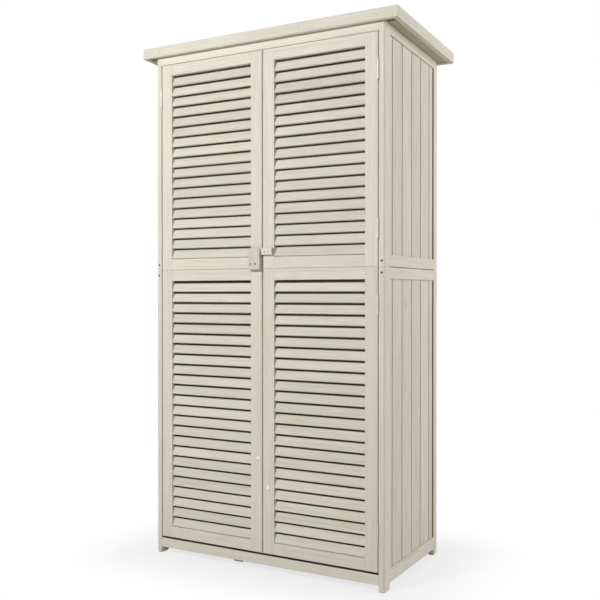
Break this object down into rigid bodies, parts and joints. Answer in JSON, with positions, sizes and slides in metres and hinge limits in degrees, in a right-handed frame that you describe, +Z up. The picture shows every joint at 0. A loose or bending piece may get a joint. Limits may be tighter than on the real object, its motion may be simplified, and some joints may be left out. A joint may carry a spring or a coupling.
{
  "type": "garden storage cabinet",
  "caption": "Tall wooden garden cabinet with two full-height louvred doors, a slide latch, inner shelves, slatted sides and a shallow pent roof on short feet.",
  "frame": {"origin": "on the ground, under the middle of the roof's outline", "axes": "+X to the right seen from the front, +Y to the back, +Z up"},
  "size_m": [0.87, 0.465, 1.6],
  "materials": {
    "frame_wood": "pale washed softwood, matt",
    "door_wood": "pale washed softwood, matt",
    "louvre_wood": "pale washed softwood, matt",
    "board_wood": "pale washed softwood, matt",
    "roof_wood": "pale washed softwood, matt",
    "inside_wood": "plain sawn softwood, matt",
    "latch_wood": "grey-green washed hardwood, matt",
    "roof_felt": "mineral-faced roofing felt",
    "zinc_steel": "zinc-plated steel"
  },
  "bodies": {
    "cabinet": {"front_left_lower_post": "frame_wood", "front_left_upper_post": "frame_wood", "front_right_lower_post": "frame_wood", "front_right_upper_post": "frame_wood", "back_left_lower_post": "frame_wood", "back_left_upper_post": "frame_wood", "back_right_lower_post": "frame_wood", "back_right_upper_post": "frame_wood", "left_lower_side_boards": "board_wood", "left_upper_side_boards": "board_wood", "right_lower_side_boards": "board_wood", "right_upper_side_boards": "board_wood", "left_side_rails": "frame_wood", "right_side_rails": "frame_wood", "front_top_rail": "frame_wood", "front_bottom_rail": "frame_wood", "back_boards": "board_wood", "back_rails": "frame_wood", "floor_boards": "inside_wood", "floor_bearers": "inside_wood", "middle_foot": "inside_wood", "lower_shelf": "inside_wood", "middle_shelf": "inside_wood", "upper_shelf": "inside_wood", "left_shelf_cleats": "inside_wood", "right_shelf_cleats": "inside_wood", "roof_boards": "inside_wood", "roof_felt": "roof_felt", "roof_battens": "inside_wood", "front_fascia": "roof_wood", "back_fascia": "roof_wood", "left_fascia": "roof_wood", "right_fascia": "roof_wood", "left_post_hinge_leaves": "zinc_steel", "right_post_hinge_leaves": "zinc_steel", "hinge_pins": "zinc_steel", "frame_screws": "zinc_steel"},
    "left_door": {"left_lower_hinge_stile": "door_wood", "left_lower_meeting_stile": "door_wood", "left_lower_louvres": "louvre_wood", "left_upper_hinge_stile": "door_wood", "left_upper_meeting_stile": "door_wood", "left_upper_louvres": "louvre_wood", "left_door_rails": "door_wood", "left_joining_plates": "zinc_steel", "left_door_hinge_leaves": "zinc_steel", "left_door_screws": "zinc_steel", "latch_keeper": "latch_wood"},
    "right_door": {"right_lower_hinge_stile": "door_wood", "right_lower_meeting_stile": "door_wood", "right_lower_louvres": "louvre_wood", "right_upper_hinge_stile": "door_wood", "right_upper_meeting_stile": "door_wood", "right_upper_louvres": "louvre_wood", "right_door_rails": "door_wood", "right_joining_plates": "zinc_steel", "right_door_hinge_leaves": "zinc_steel", "right_door_screws": "zinc_steel", "latch_rail": "latch_wood"},
    "latch": {"latch_bar": "door_wood"}
  },
  "joints": [
    {"name": "left_door_hinge", "type": "hinge", "parent": "cabinet", "child": "left_door", "pos_m": [-0.3725, -0.22, 0.8], "axis": [0, 0, -1], "range_deg": [0, 170]},
    {"name": "right_door_hinge", "type": "hinge", "parent": "cabinet", "child": "right_door", "pos_m": [0.3725, -0.22, 0.8], "axis": [0, 0, 1], "range_deg": [0, 170]},
    {"name": "latch_slide", "type": "slide", "parent": "right_door", "child": "latch", "axis": [-1, 0, 0], "range_m": [0, 0.02]}
  ]
}
